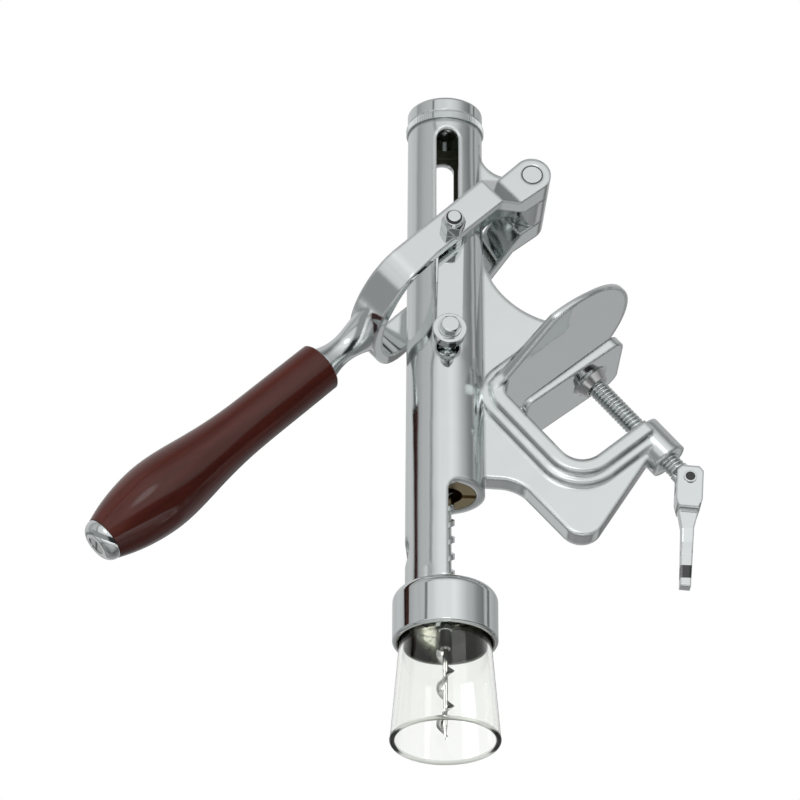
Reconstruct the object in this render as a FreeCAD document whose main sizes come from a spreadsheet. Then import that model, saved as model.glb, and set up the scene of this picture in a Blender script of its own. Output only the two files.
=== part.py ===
"""Counter mount corkscrew: a lever driven worm in a barrel, with a screw clamp for a counter edge.

Row frame: +Z is up from the counter, the origin is the centre of the upper jaw's underside.
Most pieces are drawn about the barrel's own axis and then tilted; the clamp's pieces stand upright.
"""
import FreeCAD, Part
import math
import os
import Sketcher
from FreeCAD import Placement, Rotation, Vector

doc = FreeCAD.newDocument("CounterMountCorkscrew")
sheet = doc.addObject("Spreadsheet::Sheet", "Sizes")

SIZES = [
    # Attitude: the barrel leans over the counter, the lever hangs from its hinge.
    ("barrel_lean", 41.0), ("lever_angle", 42.8),
    # Barrel, measured along its axis from the bottom face.
    ("barrel_radius", 18.5), ("barrel_top_radius", 17.8), ("barrel_cover", 5.6), ("barrel_bore", 14.3),
    ("slot_width", 10.6), ("slot_low_run", 3.2), ("slot_high_run", 0.3),
    ("shell_drop", 51.0), ("shell_corner", 6.0),
    ("cork_window_radius", 7.0), ("cork_window_drop", 31.0),
    # Bush and drive nut in the foot of the barrel.
    ("fit_gap", 0.06), ("bush_length", 12.0), ("bush_bore", 8.0), ("bush_notch", 3.0),
    ("bush_notch_depth", 1.2), ("nut_length", 18.0), ("nut_bore", 4.7), ("peg_radius", 1.1),
    ("peg_reach", 3.3),
    # End cap.
    ("cap_gap", 0.35), ("cap_height", 12.0), ("cap_radius", 18.0), ("knurl_band", 3.8),
    ("knurl_radius", 18.3), ("cap_edge", 1.6), ("cap_roof", 2.4), ("spigot_length", 4.2),
    ("spigot_wall", 2.6), ("knurl_groove", 0.5),
    # Hinge of the lever.
    ("hinge_reach", 40.0), ("hinge_height", 163.0), ("hinge_lug_radius", 9.0), ("hinge_lug_half", 10.0),
    ("hinge_pin_radius", 4.7), ("hinge_arm_half", 8.0), ("pin_gap", 0.08), ("ear_gap", 0.35),
    ("arm_root_up", 25.0), ("arm_root_down", 21.5), ("arm_saddle_up", 10.5), ("arm_hollow_down", 9.4),
    # Lever yoke.
    ("lever_swing", 132.8),
    ("ear_half", 22.6), ("ear_radius", 9.0), ("ear_flat", 15.0), ("joggle_end", 27.6), ("band_half", 37.0),
    ("band_wall", 5.0), ("band_high", 7.8), ("band_low", 7.4), ("band_high_end", 5.2),
    ("band_low_end", 11.8),
    ("band_drop_start", 70.0), ("band_drop_end", 100.0),
    ("ring_turn", 84.0), ("ring_end", 111.0), ("ring_end_wall", 5.5),
    ("neck_waist", 14.0), ("neck_waist_radius", 6.4), ("neck_end_radius", 8.8), ("neck_flare", 4.0),
    ("neck_root_up", 8.0), ("neck_root_across", 19.0),
    # Grip.
    ("grip_start", 137.5), ("grip_drop", 3.8), ("grip_turn", 1.33), ("grip_length", 136.2),
    ("grip_top_radius", 12.25), ("grip_bulb_radius", 17.5), ("grip_end_radius", 10.9), ("grip_edge", 0.8),
    ("tie_rod_radius", 3.5), ("tie_rod_seat", 12.0), ("tie_rod_head_radius", 4.5), ("tie_rod_head", 2.2),
    ("end_button_radius", 10.6), ("end_button_height", 5.6), ("end_button_flat", 6.4),
    # Links between the lever and the carriage.
    ("link_reach", 56.0), ("link_drop", 2.9), ("link_length", 50.3), ("link_wall", 4.5),
    ("link_width", 12.0),
    ("link_eye_radius", 7.4), ("link_spacer", 3.0),
    ("pivot_bolt_radius", 3.0), ("pivot_head_radius", 5.4), ("pivot_head_height", 3.2),
    ("lock_nut_flats", 10.0), ("lock_nut_height", 9.2), ("lock_nut_crown", 1.8), ("bolt_end", 1.4),
    ("washer_radius", 7.8), ("washer_height", 1.4), ("lock_washer", 1.2), ("lock_washer_radius", 5.4),
    ("hex_flats", 8.4), ("hex_height", 2.6), ("side_gap", 0.15),
    # Carriage, spindle and worm.
    ("carriage_gap", 0.3), ("carriage_up", 6.2), ("carriage_down", 10.0), ("trunnion_radius", 5.0),
    ("trunnion_boss", 6.8),
    ("spindle_radius", 2.9), ("spindle_gap", 0.25), ("thrust_radius", 7.5), ("thrust_height", 1.2),
    ("thrust_gap", 0.1), ("shoulder_radius", 6.0), ("shoulder_height", 3.0), ("spindle_nut_flats", 10.0),
    ("spindle_nut_height", 6.0), ("spindle_foot", 70.0), ("thread_foot", 66.0), ("thread_radius", 4.4),
    ("thread_ridge", 3.4), ("thread_lead", 17.4), ("thread_stop", 2.0),
    ("worm_seat_radius", 2.0), ("worm_seat_depth", 8.0), ("worm_shank_radius", 2.5), ("worm_top", 79.0),
    ("worm_tip", 124.0), ("worm_radius", 4.1), ("worm_core", 1.3), ("worm_blade", 2.6), ("worm_edge", 0.25),
    ("worm_point", 7.0),
    # Bell: collar, seal and glass.
    ("collar_radius", 24.2), ("collar_height", 25.0), ("collar_roof", 4.0), ("collar_edge", 5.0),
    ("collar_bore", 22.0), ("collar_lip", 1.2), ("seal_height", 2.4), ("seal_inner", 19.6),
    ("glass_wall", 1.9),
    ("glass_neck_radius", 21.2), ("glass_neck_length", 20.0), ("glass_foot", 125.4),
    ("glass_foot_radius", 25.0), ("bead_radius", 1.2),
    ("sleeve_top", 63.0), ("sleeve_height", 7.0),
    ("collar_screw_circle", 16.4), ("collar_screw_radius", 1.5), ("collar_screw_length", 11.0),
    ("collar_screw_head", 2.7), ("collar_screw_head_height", 1.6),
    # Clamp frame, in row coordinates below the upper jaw.
    ("jaw_reach", 55.44), ("jaw_height", 78.84), ("disc_radius", 41.5), ("disc_wall", 2.5),
    ("jaw_root_wall", 5.2), ("throat_depth", 41.0), ("throat_height", 55.8), ("throat_corner", 12.0),
    ("jaw_corner", 6.0),
    ("flange_half", 13.0), ("flange_wall", 6.5), ("step_half", 9.0), ("step_wall", 4.0),
    ("web_half", 5.2), ("web_rise", 49.0), ("web_on_jaw", 13.0), ("web_foot", 7.3),
    ("spine_width", 22.5), ("toe_drop", 26.2), ("arm_drop", 12.6),
    ("boss_radius", 9.5), ("boss_length", 20.0), ("boss_rise", 1.0),
    # Clamp screw, pad and folding handle.
    ("screw_radius", 4.8), ("screw_gap", 0.1), ("pad_top", 14.8), ("pad_wall", 5.5), ("pad_end_wall", 3.4),
    ("pad_left", 40.6), ("pad_right", 19.0), ("pad_half", 19.0), ("pad_corner", 4.0),
    ("pad_far_corner", 7.0),
    ("socket_radius", 8.0), ("socket_height", 4.0),
    ("screw_nose", 3.2), ("nose_gap", 1.5), ("rivet_drop", 88.8), ("tongue_half", 2.4),
    ("tongue_width", 4.4),
    ("rivet_radius", 2.2), ("rivet_head", 3.0), ("handle_turn", 44.5), ("fork_half", 5.2),
    ("fork_width", 12.4),
    ("fork_up", 6.0), ("fork_corner", 2.0), ("fork_down", 13.0), ("stem_length", 55.5), ("stem_width", 6.0), ("stem_wall", 5.0),
]
# Heights that follow from the linkage: at rest, and with the lever swung right up.
DERIVED = [
    ("pivot_across", "hinge_reach - link_reach * cos(lever_angle * 1deg) + link_drop * sin(lever_angle * 1deg)"),
    ("pivot_height", "hinge_height - link_reach * sin(lever_angle * 1deg) - link_drop * cos(lever_angle * 1deg)"),
    ("trunnion_height", "pivot_height - sqrt(link_length ^ 2 - pivot_across ^ 2)"),
    ("lift_angle", "lever_angle - lever_swing"),
    ("lifted_across", "hinge_reach - link_reach * cos(lift_angle * 1deg) + link_drop * sin(lift_angle * 1deg)"),
    ("lifted_height", "hinge_height - link_reach * sin(lift_angle * 1deg) - link_drop * cos(lift_angle * 1deg)"),
    ("trunnion_top", "lifted_height - sqrt(link_length ^ 2 - lifted_across ^ 2)"),
    ("slot_bottom", "trunnion_height - slot_width / 2 - slot_low_run"),
    ("slot_top", "trunnion_top + slot_width / 2 + slot_high_run"),
    ("barrel_height", "slot_top + barrel_cover"),
    ("link_inner", "band_half - band_wall - link_spacer - link_wall - 2 * side_gap"),
]
entries = [(alias, str(value)) for alias, value in SIZES] + [(alias, "=" + rule) for alias, rule in DERIVED]
for row, (alias, content) in enumerate(entries, start=1):
    sheet.set(f"A{row}", alias.replace("_", " "))
    sheet.set(f"B{row}", content)
    sheet.setAlias(f"B{row}", alias)
doc.recompute()


def size(alias):
    return float(sheet.get(alias))


class Named:
    """Reads a driving dimension from the sheet by its alias."""

    def __getattr__(self, alias):
        return size(alias)


z = Named()
Y_AXIS = Vector(0, 1, 0)
Z_AXIS = Vector(0, 0, 1)


def cosd(angle):
    return math.cos(math.radians(angle))


def sind(angle):
    return math.sin(math.radians(angle))


# ---------------------------------------------------------------- frames of reference
LEAN = Rotation(Y_AXIS, z.barrel_lean)
BARREL = Placement(LEAN.multVec(Vector(-z.jaw_reach, 0, -z.jaw_height)), LEAN)
LEVER = BARREL.multiply(Placement(Vector(z.hinge_reach, 0, z.hinge_height), Rotation(Y_AXIS, -z.lever_angle)))
GRIP = LEVER.multiply(
    Placement(Vector(-z.grip_start, 0, -z.grip_drop), Rotation(Y_AXIS, -(90 + z.grip_turn))))
ROW = Placement()

# The links hang from their upper pivot; at rest they stand a degree off the barrel's axis.
link_tilt = math.degrees(math.asin(z.pivot_across / z.link_length))
LINK = BARREL.multiply(Placement(Vector(z.pivot_across, 0, z.pivot_height), Rotation(Y_AXIS, link_tilt)))


# ---------------------------------------------------------------- building blocks
def origin_plane(body, role):
    return next(f for f in body.Origin.OriginFeatures if f.Role == role)


def new_sketch(body, name, role, lift=None):
    sketch = body.newObject("Sketcher::SketchObject", name)
    sketch.AttachmentSupport = (origin_plane(body, role), "")
    sketch.MapMode = "FlatFace"
    if lift:
        sketch.setExpression("AttachmentOffset.Base.z", lift)
    return sketch


def bound(sketch, constraint, expression):
    index = sketch.addConstraint(constraint)
    sketch.setExpression(f"Constraints[{index}]", expression)


def outline(sketch, points):
    """A closed outline of straight lines whose corners are bound to expressions (a pair of strings each)."""
    first = sketch.GeometryCount
    total = len(points)
    values = [(doc_value(a), doc_value(b)) for a, b in points]
    for i in range(total):
        a, b = values[i], values[(i + 1) % total]
        sketch.addGeometry(Part.LineSegment(Vector(a[0], a[1], 0), Vector(b[0], b[1], 0)))
    for i in range(total):
        follower = first + (i + 1) % total
        sketch.addConstraint(Sketcher.Constraint("Coincident", first + i, 2, follower, 1))
    for i, (a, b) in enumerate(points):
        bound(sketch, Sketcher.Constraint("DistanceX", -1, 1, first + i, 1, values[i][0]), a)
        bound(sketch, Sketcher.Constraint("DistanceY", -1, 1, first + i, 1, values[i][1]), b)


def circle(sketch, across, up, radius):
    """A circle whose centre and radius are bound to expressions."""
    index = sketch.addGeometry(
        Part.Circle(Vector(doc_value(across), doc_value(up), 0), Z_AXIS, doc_value(radius)))
    bound(sketch, Sketcher.Constraint("DistanceX", -1, 1, index, 3, doc_value(across)), across)
    bound(sketch, Sketcher.Constraint("DistanceY", -1, 1, index, 3, doc_value(up)), up)
    bound(sketch, Sketcher.Constraint("Radius", index, doc_value(radius)), radius)


def hexagon(sketch, across_flats):
    """A hexagon about the sketch's origin, bound to its width across flats."""
    corner = f"{across_flats} / 1.7320508"
    points = []
    for turn in range(6):
        points.append((f"{corner} * cos({60 * turn}deg)", f"{corner} * sin({60 * turn}deg)"))
    outline(sketch, points)


def doc_value(expression):
    """The present value of an expression on the sheet, as a plain number."""
    return float(sheet.evalExpression(expression.replace("Sizes.", "")))


def new_body(label, placement):
    body = doc.addObject("PartDesign::Body", label)
    body.Label = label
    body.Placement = placement
    return body


def revolve(body, points, name="Turned"):
    """A turned piece: the outline is radius against height, spun about the body's Z axis."""
    sketch = new_sketch(body, name + "Profile", "XZ_Plane")
    outline(sketch, points)
    feature = body.newObject("PartDesign::Revolution", name)
    feature.Profile = sketch
    feature.ReferenceAxis = (sketch, ["V_Axis"])
    feature.Angle = 360.0
    body.Tip = feature
    return feature


def pad(body, sketch, length, name="Pad", both=False, reverse=False):
    feature = body.newObject("PartDesign::Pad", name)
    feature.Profile = sketch
    feature.setExpression("Length", length)
    if both:
        feature.SideType = "Symmetric"
    feature.Reversed = reverse
    body.Tip = feature
    return feature


def pocket(body, sketch, name="Pocket", length=None, both=False, reverse=False):
    feature = body.newObject("PartDesign::Pocket", name)
    feature.Profile = sketch
    if length:
        feature.setExpression("Length", length)
    else:
        feature.Type = "ThroughAll"
    if both:
        feature.SideType = "Symmetric"
    feature.Reversed = reverse
    body.Tip = feature
    return feature


def rings(feature, wanted):
    """Names of a turned feature's circular edges that match (height, radius) pairs."""
    names = []
    for index, edge in enumerate(feature.Shape.Edges, start=1):
        curve = edge.Curve
        if not isinstance(curve, Part.Circle):
            continue
        for height, radius in wanted:
            if abs(curve.Center.z - height) < 1e-4 and abs(curve.Radius - radius) < 1e-4:
                names.append(f"Edge{index}")
    return names


def round_edges(body, base, wanted, radius, name="Rounded"):
    doc.recompute()
    feature = body.newObject("PartDesign::Fillet", name)
    feature.Base = (base, rings(base, wanted))
    feature.setExpression("Radius", radius)
    body.Tip = feature
    return feature


def shaped(label, shape, placement):
    """A piece whose form is worked out from the sheet with Part's own functions."""
    feature = doc.addObject("Part::Feature", label)
    feature.Label = label
    feature.Shape = shape
    feature.Placement = placement.multiply(shape.Placement)
    return feature


def rod(radius, start, end, centre=(0, 0)):
    """A cylinder along Z."""
    return Part.makeCylinder(radius, end - start, Vector(centre[0], centre[1], start))


def cross_rod(radius, start, end, across=0.0, up=0.0):
    """A cylinder along Y."""
    return Part.makeCylinder(radius, end - start, Vector(across, start, up), Y_AXIS)


def plate(edges, half):
    """A flat plate on the XZ plane from a closed chain of edges, half as thick each way."""
    face = Part.Face(Part.Wire(Part.__sortEdges__(edges)))
    solid = face.extrude(Vector(0, 2 * half, 0))
    solid.translate(Vector(0, -half, 0))
    return solid


def side(x, height):
    return Vector(x, 0, height)


def chain(stops):
    """Edges through a closed list of stops; a pair of stops makes an arc through its first to its second."""
    edges = []
    here = stops[0]
    for stop in stops[1:] + [stops[0]]:
        if isinstance(stop, tuple):
            edges.append(Part.Arc(here, stop[0], stop[1]).toShape())
            here = stop[1]
        else:
            edges.append(Part.makeLine(here, stop))
            here = stop
    return edges


# ---------------------------------------------------------------- frame casting
def jaw_point(reach, drop, across=0.0):
    """A point of the clamp, given in row directions, turned into the barrel's frame."""
    return BARREL.inverse().multVec(Vector(reach, across, -drop))


def barrel_tube():
    """The drafted barrel and the half shell that carries the bell."""
    outer = Part.makeCone(z.barrel_radius, z.barrel_top_radius, z.barrel_height)
    shell = rod(z.barrel_radius, -z.shell_drop, 0)
    # In side view the shell's top edge runs out of the barrel's foot in a rounded corner.
    corner, reach = z.shell_corner, z.barrel_radius + 1
    bend = corner * (1 - cosd(45))
    keep = plate(chain([
        side(-reach, 0), side(corner, 0),
        (side(bend, -bend), side(0, -corner)),
        side(0, -z.shell_drop), side(-reach, -z.shell_drop)]), reach)
    return outer.fuse(shell.common(keep))


def hinge_arm():
    """The arm from the barrel out to the lever's hinge lug, hollowed in a round sweep underneath."""
    lug = Vector(z.hinge_reach, 0, z.hinge_height)
    top = lug + Vector(-z.hinge_lug_radius * sind(18), 0, z.hinge_lug_radius * cosd(18))
    foot = lug + Vector(z.hinge_lug_radius * sind(12), 0, -z.hinge_lug_radius * cosd(12))
    skin, inside = z.barrel_top_radius, z.barrel_top_radius / 2
    arm = plate(chain([
        side(inside, z.hinge_height + z.arm_root_up), side(skin - 1.2, z.hinge_height + z.arm_root_up),
        (side(skin + 3.2, z.hinge_height + z.arm_saddle_up), top),
        lug, foot,
        (side(skin + 4.6, z.hinge_height - z.arm_hollow_down),
         side(skin - 1.6, z.hinge_height - z.arm_root_down)),
        side(inside, z.hinge_height - z.arm_root_down)]), z.hinge_arm_half)
    return arm.fuse(cross_rod(z.hinge_lug_radius, -z.hinge_lug_half, z.hinge_lug_half,
                              z.hinge_reach, z.hinge_height))


def throat_void(grow, half):
    """The clamp's throat, grown outwards by a wall, as a block that cuts or bounds the frame."""
    left, low, right = -z.throat_depth - grow, z.throat_height + grow, z.disc_radius
    high = -grow
    low_corner, high_corner = z.throat_corner + grow, z.jaw_corner + grow
    bend = 1 - cosd(45)
    stops = [
        jaw_point(right, high), jaw_point(left + high_corner, high),
        (jaw_point(left + bend * high_corner, high + bend * high_corner),
         jaw_point(left, high + high_corner)),
        jaw_point(left, low - low_corner),
        (jaw_point(left + bend * low_corner, low - bend * low_corner), jaw_point(left + low_corner, low)),
        jaw_point(right, low)]
    return plate(chain(stops), half)


def clamp_web():
    """Side view of the plate between the barrel, the jaw and the screw boss, as stops for a chain."""
    skin, inside = z.barrel_radius, z.barrel_radius / 2
    crown = z.jaw_height + z.web_rise
    spine = z.throat_depth + z.spine_width
    web_on_boss = z.throat_height + z.boss_length - z.boss_rise - 4
    return [
        side(inside, crown), side(skin - 0.7, crown),
        (side(skin + 1.2, crown - 8.5), side(skin + 4, crown - 15.4)),
        (side(skin + 13, crown - 26.2), jaw_point(z.web_on_jaw, -z.jaw_root_wall + 0.4)),
        jaw_point(z.web_on_jaw, 0), jaw_point(0, z.throat_height * 0.3), jaw_point(0, web_on_boss),
        jaw_point(-6, z.throat_height + z.arm_drop),
        jaw_point(-z.throat_depth - 7.7, z.throat_height + z.toe_drop),
        (jaw_point(-z.throat_depth - 17, z.throat_height + z.toe_drop - 0.8),
         jaw_point(-spine + 0.4, z.throat_height + z.toe_drop - 8.9)),
        jaw_point(-spine, z.throat_height - z.arm_drop + 3),
        (side(skin + 12.9, z.web_foot - 1.3), side(skin + 5.5, z.web_foot - 0.2)),
        side(skin - 0.4, z.web_foot), side(inside, z.web_foot)]


def jaw_plate():
    """The upper jaw: a round counter plate that narrows back to the frame and thins towards its far rim."""
    flat_side = z.disc_radius * 0.975
    start = -math.sqrt(z.disc_radius ** 2 - flat_side ** 2)
    rim = Part.Arc(Vector(start, -flat_side, 0), Vector(z.disc_radius, 0, 0), Vector(start, flat_side, 0))
    root, neck = -z.throat_depth + 4, z.flange_half + 2
    back = root - z.jaw_corner
    corners = [Vector(start, flat_side, 0), Vector(root, neck, 0), Vector(back, z.flange_half, 0),
               Vector(back, -z.flange_half, 0), Vector(root, -neck, 0), Vector(start, -flat_side, 0)]
    lines = [Part.makeLine(a, b) for a, b in zip(corners, corners[1:])]
    blank = Part.Face(Part.Wire([rim.toShape()] + lines)).extrude(Vector(0, 0, z.jaw_root_wall))
    far = z.disc_radius + 1
    wedge = plate(chain([
        side(back - 1, 0), side(far, 0), side(far, z.disc_wall), side(z.web_on_jaw, z.disc_wall),
        side(root, z.jaw_root_wall), side(back - 1, z.jaw_root_wall)]), far)
    body = blank.common(wedge)
    body.Placement = BARREL.inverse().multiply(body.Placement)
    return body


def frame_casting():
    tube = barrel_tube()
    stops = clamp_web()
    silhouette = plate(chain(stops), z.flange_half)
    web = plate(chain(stops), z.web_half)
    flange = throat_void(z.flange_wall, z.flange_half)
    step = throat_void(z.flange_wall + z.step_wall, z.step_half)
    ribs = flange.fuse(step).common(silhouette)
    boss_top = -z.throat_height + z.boss_rise
    boss = rod(z.boss_radius, boss_top - z.boss_length, boss_top)
    boss.Placement = BARREL.inverse()
    solid = tube.fuse([web, ribs, boss, hinge_arm(), jaw_plate()])
    # The throat stays open, from the jaw face to the lower arm and out past the boss.
    solid = solid.cut(throat_void(0, z.disc_radius + 2).common(open_side()))
    bore = rod(z.barrel_bore, -z.shell_drop - 1, z.barrel_height + 1)
    window = Part.makeCylinder(z.cork_window_radius, z.barrel_radius + 4, Vector(0, 0, -z.cork_window_drop),
                               Vector(-1, 0, 0))
    pin_hole = cross_rod(z.hinge_pin_radius + z.pin_gap, -z.hinge_lug_half - 1, z.hinge_lug_half + 1,
                         z.hinge_reach, z.hinge_height)
    screw_hole = Part.makeCylinder(z.screw_radius + z.screw_gap, z.boss_length + 4,
                                   Vector(0, 0, -z.throat_height - z.boss_length - 2))
    screw_hole.Placement = BARREL.inverse()
    solid = solid.cut([bore, window, pin_hole, screw_hole, slot_cutter()] + collar_screw_shafts(z.fit_gap))
    return solid.removeSplitter()


def open_side():
    """The half space under the jaw face that the throat may clear."""
    reach = 4 * z.throat_height
    block = Part.makeBox(2 * reach, 2 * reach, reach, Vector(-reach, -reach, -reach))
    block.Placement = BARREL.inverse()
    return block


def slot_cutter():
    """One long slot cut right through both sides of the barrel, with rounded ends."""
    half, reach = z.slot_width / 2, z.barrel_radius + 2
    middle = Part.makeBox(z.slot_width, 2 * reach, z.slot_top - z.slot_bottom - z.slot_width,
                          Vector(-half, -reach, z.slot_bottom + half))
    low = cross_rod(half, -reach, reach, 0, z.slot_bottom + half)
    high = cross_rod(half, -reach, reach, 0, z.slot_top - half)
    return middle.fuse([low, high])


def collar_screw_spots():
    return [(z.collar_screw_circle * cosd(a), z.collar_screw_circle * sind(a)) for a in (120, 180, 240)]


def collar_screw_shafts(gap):
    """The shafts of the screws that hold the collar up against the half shell."""
    foot = -z.shell_drop - z.collar_roof
    return [rod(z.collar_screw_radius + gap, foot, foot + z.collar_screw_length + gap, spot)
            for spot in collar_screw_spots()]


shaped("frame_casting", frame_casting(), BARREL)

# ---------------------------------------------------------------- end cap
cap = new_body("end_cap", BARREL)
cap_foot = "Sizes.barrel_height + Sizes.cap_gap"
spigot_inner = "Sizes.barrel_bore - Sizes.fit_gap - Sizes.spigot_wall"
cap_turned = revolve(cap, [
    (spigot_inner, "Sizes.barrel_height - Sizes.spigot_length"),
    ("Sizes.barrel_bore - Sizes.fit_gap", "Sizes.barrel_height - Sizes.spigot_length"),
    ("Sizes.barrel_bore - Sizes.fit_gap", cap_foot), ("Sizes.knurl_radius", cap_foot),
    ("Sizes.knurl_radius", f"{cap_foot} + Sizes.knurl_band"),
    ("Sizes.cap_radius - Sizes.knurl_groove", f"{cap_foot} + Sizes.knurl_band + Sizes.knurl_groove"),
    ("Sizes.cap_radius", f"{cap_foot} + Sizes.knurl_band + 2 * Sizes.knurl_groove"),
    ("Sizes.cap_radius", f"{cap_foot} + Sizes.cap_height"), ("0", f"{cap_foot} + Sizes.cap_height"),
    ("0", f"{cap_foot} + Sizes.cap_height - Sizes.cap_roof"),
    (spigot_inner, f"{cap_foot} + Sizes.cap_height - Sizes.cap_roof"),
])
round_edges(cap, cap_turned, [(z.barrel_height + z.cap_gap + z.cap_height, z.cap_radius)], "Sizes.cap_edge")

# ---------------------------------------------------------------- guide bush and drive nut
bush = new_body("guide_bush", BARREL)
revolve(bush, [
    ("Sizes.bush_bore", "0"), ("Sizes.barrel_bore - Sizes.fit_gap", "0"),
    ("Sizes.barrel_bore - Sizes.fit_gap", "Sizes.bush_length"), ("Sizes.bush_bore", "Sizes.bush_length"),
])
notch = new_sketch(bush, "SpannerNotch", "XY_Plane")
outline(notch, [
    ("-Sizes.barrel_bore - 1", "-Sizes.bush_notch / 2"), ("Sizes.barrel_bore + 1", "-Sizes.bush_notch / 2"),
    ("Sizes.barrel_bore + 1", "Sizes.bush_notch / 2"), ("-Sizes.barrel_bore - 1", "Sizes.bush_notch / 2"),
])
pocket(bush, notch, "SpannerSlot", "Sizes.bush_notch_depth", reverse=True)


def drive_nut():
    """The nut whose two pegs run in the spindle's twin grooves."""
    floor = z.bush_length + z.thrust_gap
    ring = rod(z.barrel_bore - z.fit_gap, floor, floor + z.nut_length).cut(
        rod(z.nut_bore, floor - 1, floor + z.nut_length + 1))
    middle = floor + z.nut_length / 2
    quarter = round(2 * (middle + z.thread_foot) / z.thread_lead + 0.5)
    level = -z.thread_foot + z.thread_lead * (quarter / 2 - 0.25)
    pegs = [Part.makeCylinder(z.peg_radius, z.nut_bore + 1 - z.peg_reach, Vector(way * z.peg_reach, 0, level),
                              Vector(way, 0, 0)) for way in (1, -1)]
    return ring.fuse(pegs).removeSplitter()


shaped("drive_nut", drive_nut(), BARREL)


# ---------------------------------------------------------------- carriage
def carriage():
    """The slider that the links drive: a drum with two trunnions that reach out through the slots."""
    foot, top = z.trunnion_height - z.carriage_down, z.trunnion_height + z.carriage_up
    drum = rod(z.barrel_bore - z.carriage_gap, foot, top)
    reach = z.link_inner - 2 * z.side_gap
    arms = cross_rod(z.trunnion_radius, -reach, reach, 0, z.trunnion_height)
    skin = z.barrel_radius + z.carriage_gap
    flares = [Part.makeCone(z.trunnion_radius, z.trunnion_boss, reach - skin,
                            Vector(0, way * skin, z.trunnion_height), Vector(0, way, 0)) for way in (1, -1)]
    hole = rod(z.spindle_radius + z.spindle_gap, foot - 1, top + 1)
    return drum.fuse([arms] + flares).cut(hole).removeSplitter()


shaped("carriage", carriage(), BARREL)

lower_washer_foot = z.trunnion_height - z.carriage_down - z.thrust_gap - z.thrust_height
upper_washer_foot = z.trunnion_height + z.carriage_up + z.thrust_gap
shoulder_top = lower_washer_foot - z.thrust_gap


def thrust_washers():
    rings_made = []
    for foot in (lower_washer_foot, upper_washer_foot):
        rings_made.append(rod(z.thrust_radius, foot, foot + z.thrust_height).cut(
            rod(z.spindle_radius + z.spindle_gap, foot - 1, foot + z.thrust_height + 1)))
    return Part.makeCompound(rings_made)


shaped("thrust_washers", thrust_washers(), BARREL)


# ---------------------------------------------------------------- spindle, its nut and the worm
def ridge(foot, top, start_angle):
    """One square ridge of the spindle's steep twin thread."""
    helix = Part.makeHelix(z.thread_lead, top - foot, z.thread_radius)
    half = z.thread_ridge / 2
    inner, outer = z.spindle_radius - 0.4, z.thread_radius
    corners = [Vector(inner, 0, -half), Vector(outer, 0, -half * 0.86), Vector(outer, 0, half * 0.86),
               Vector(inner, 0, half), Vector(inner, 0, -half)]
    made = Part.Wire(helix).makePipeShell([Part.makePolygon(corners)], True, True)
    made.rotate(Vector(), Z_AXIS, start_angle)
    made.translate(Vector(0, 0, foot))
    return made


def spindle():
    nut_top = upper_washer_foot + z.thrust_height + z.thrust_gap + z.spindle_nut_height
    shaft = rod(z.spindle_radius, -z.spindle_foot, nut_top + 1.5)
    shoulder_foot = shoulder_top - z.shoulder_height
    shoulder = rod(z.shoulder_radius, shoulder_foot, shoulder_top)
    ridges = [ridge(-z.thread_foot, shoulder_foot - z.thread_stop, angle) for angle in (0, 180)]
    socket = rod(z.worm_seat_radius + z.fit_gap, -z.spindle_foot - 1, -z.spindle_foot + z.worm_seat_depth)
    return shaft.fuse([shoulder] + ridges).cut(socket)


shaped("spindle", spindle(), BARREL)

spindle_nut = new_body("spindle_nut", BARREL)
nut_sketch = new_sketch(spindle_nut, "NutProfile", "XY_Plane")
nut_sketch.AttachmentOffset = Placement(
    Vector(0, 0, upper_washer_foot + z.thrust_height + z.thrust_gap), Rotation())
hexagon(nut_sketch, "Sizes.spindle_nut_flats")
circle(nut_sketch, "0", "0", "Sizes.spindle_radius + Sizes.fit_gap")
pad(spindle_nut, nut_sketch, "Sizes.spindle_nut_height")


def worm():
    """The auger: a seated stub, a plain shank and one sharp blade wound round a thin tapering core."""
    helix = Part.makeHelix(z.thread_lead, z.worm_tip - z.worm_top - 1, z.worm_radius)
    root, half = z.worm_core * 0.3, z.worm_blade / 2
    profile = [Vector(root, 0, -half), Vector(z.worm_radius, 0, -z.worm_edge),
               Vector(z.worm_radius, 0, z.worm_edge), Vector(root, 0, half)]
    blade = Part.Wire(helix).makePipeShell([Part.makePolygon(profile + profile[:1])], True, True)
    blade.rotate(Vector(), Z_AXIS, 360 * (z.thread_foot - z.worm_tip) / z.thread_lead)
    blade.translate(Vector(0, 0, -z.worm_tip))
    point_top = -z.worm_tip + z.worm_point
    taper = Part.makeCone(0.3, z.worm_radius + 0.2, z.worm_point, Vector(0, 0, -z.worm_tip)).fuse(
        rod(z.worm_radius + 0.2, point_top, -z.spindle_foot))
    core = Part.makeCone(0.15, z.worm_core * 0.7, z.worm_point, Vector(0, 0, -z.worm_tip)).fuse(
        Part.makeCone(z.worm_core * 0.7, z.worm_core, -z.worm_top + 1 - point_top, Vector(0, 0, point_top)))
    shank = rod(z.worm_shank_radius, -z.worm_top, -z.spindle_foot)
    stub = rod(z.worm_seat_radius, -z.spindle_foot - 1, -z.spindle_foot + z.worm_seat_depth - 0.5)
    return blade.common(taper).fuse(core).fuse(shank).fuse(stub)


shaped("worm", worm(), BARREL)


# ---------------------------------------------------------------- links and their fixings
def link_blank(way):
    """A flat link: a narrow upper end, a round eye below, drawn from its upper pivot."""
    half, drop = z.link_width / 2, z.link_length
    bar = plate(chain([
        side(-half, 0), (side(0, half), side(half, 0)), side(half, -drop), side(-half, -drop)]), z.link_wall / 2)
    eye = cross_rod(z.link_eye_radius, -z.link_wall / 2, z.link_wall / 2, 0, -drop)
    holes = [cross_rod(z.pivot_bolt_radius + z.fit_gap, -z.link_wall, z.link_wall, 0, height)
             for height in (0, -drop)]
    made = bar.fuse(eye).cut(holes).removeSplitter()
    made.translate(Vector(0, way * (z.link_inner + z.link_wall / 2), 0))
    return made


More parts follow.
